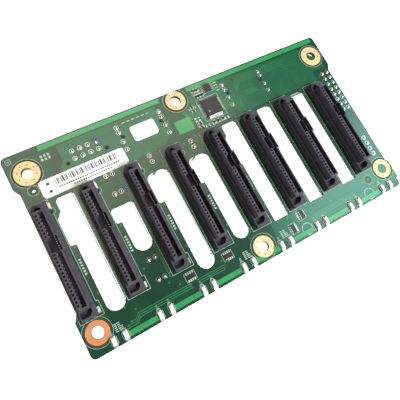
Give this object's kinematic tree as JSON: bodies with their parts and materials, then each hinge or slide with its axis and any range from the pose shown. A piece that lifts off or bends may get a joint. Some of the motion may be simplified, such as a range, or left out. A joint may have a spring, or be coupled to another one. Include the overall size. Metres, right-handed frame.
{
  "type": "drive backplane board",
  "caption": "Green circuit board with a row of upright drive receptacles, vent slots between them and cable sockets, headers and capacitors behind.",
  "frame": {"origin": "centre of the lower left mounting hole, on the board's front face", "axes": "+X along the row of drive bays, +Y towards the edge with the cable sockets, +Z out of the front face, the way a drive leaves"},
  "size_m": [0.1373, 0.0748, 0.0196],
  "materials": {
    "socket_insert": "black moulded plastic",
    "nickel_shell": "nickel plated sheet",
    "capacitor_can": "aluminium can",
    "tin_plate": "tin plate",
    "resistor_body": "dark ceramic and glaze",
    "solder_mask_board": "green solder mask on glass epoxy, semi gloss",
    "chip_moulding": "dark grey moulding compound",
    "gold_contacts": "gold plated spring metal",
    "receptacle_moulding": "black moulded plastic, satin",
    "header_moulding": "black moulded plastic",
    "tin_pins": "tin plated square pins",
    "label_paper": "white printed film",
    "light_body": "white moulded plastic",
    "light_lens": "milky clear resin"
  },
  "bodies": {
    "root": {"cable_socket_insert_1": "socket_insert", "cable_socket_insert_2": "socket_insert", "cable_socket_shell_1": "nickel_shell", "cable_socket_shell_2": "nickel_shell", "capacitors": "capacitor_can", "chip_resistor_ends": "tin_plate", "chip_resistors": "resistor_body", "circuit_board": "solder_mask_board", "controller_chip": "chip_moulding", "controller_leads": "tin_plate", "drive_contacts_1": "gold_contacts", "drive_contacts_2": "gold_contacts", "drive_contacts_3": "gold_contacts", "drive_contacts_4": "gold_contacts", "drive_contacts_5": "gold_contacts", "drive_contacts_6": "gold_contacts", "drive_contacts_7": "gold_contacts", "drive_contacts_8": "gold_contacts", "drive_receptacle_1": "receptacle_moulding", "drive_receptacle_2": "receptacle_moulding", "drive_receptacle_3": "receptacle_moulding", "drive_receptacle_4": "receptacle_moulding", "drive_receptacle_5": "receptacle_moulding", "drive_receptacle_6": "receptacle_moulding", "drive_receptacle_7": "receptacle_moulding", "drive_receptacle_8": "receptacle_moulding", "hold_down_tabs": "tin_plate", "light_header_block": "header_moulding", "light_header_pins": "tin_pins", "long_label": "label_paper", "power_header": "header_moulding", "power_header_pins": "tin_pins", "resistor_array_ends": "tin_plate", "resistor_arrays": "resistor_body", "signal_header_block": "header_moulding", "signal_header_pins": "tin_pins", "small_chip": "chip_moulding", "small_chip_leads": "tin_plate", "small_label": "label_paper", "status_light_bases": "light_body", "status_light_lenses": "light_lens"}
  },
  "joints": []
}
